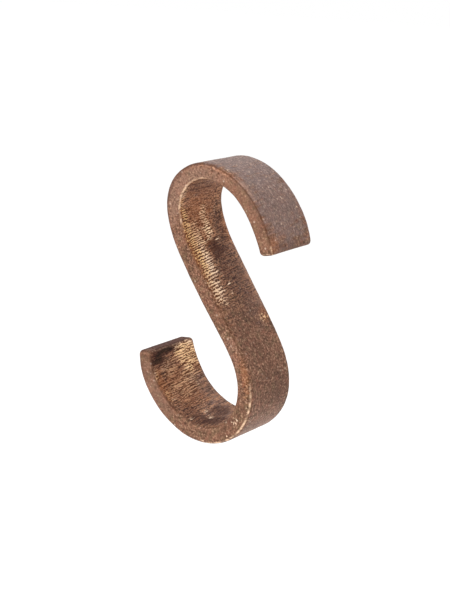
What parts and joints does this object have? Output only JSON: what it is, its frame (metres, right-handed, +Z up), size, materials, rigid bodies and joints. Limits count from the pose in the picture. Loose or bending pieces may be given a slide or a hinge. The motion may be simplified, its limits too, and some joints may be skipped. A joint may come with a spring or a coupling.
{
  "type": "s hook",
  "caption": "Flat-bar S hook: one wide bar with rounded edges, bent into a smaller open hook over a rail and a larger open hook below for a load.",
  "frame": {"origin": "centre of the round seat in the upper hook, midway across the bar's width; a rail of the seat's radius has its axis here", "axes": "+Z up, +Y along the rail, from the front of the S to its back, +X across the S, from the spine's upper end towards the upper arm"},
  "size_m": [0.0571, 0.025, 0.1003],
  "materials": {
    "hook": "aged copper-brown patina with fine casting speckle and cross-wise file marks, satin where worn"
  },
  "bodies": {
    "root": {"hook": "hook"}
  },
  "joints": []
}
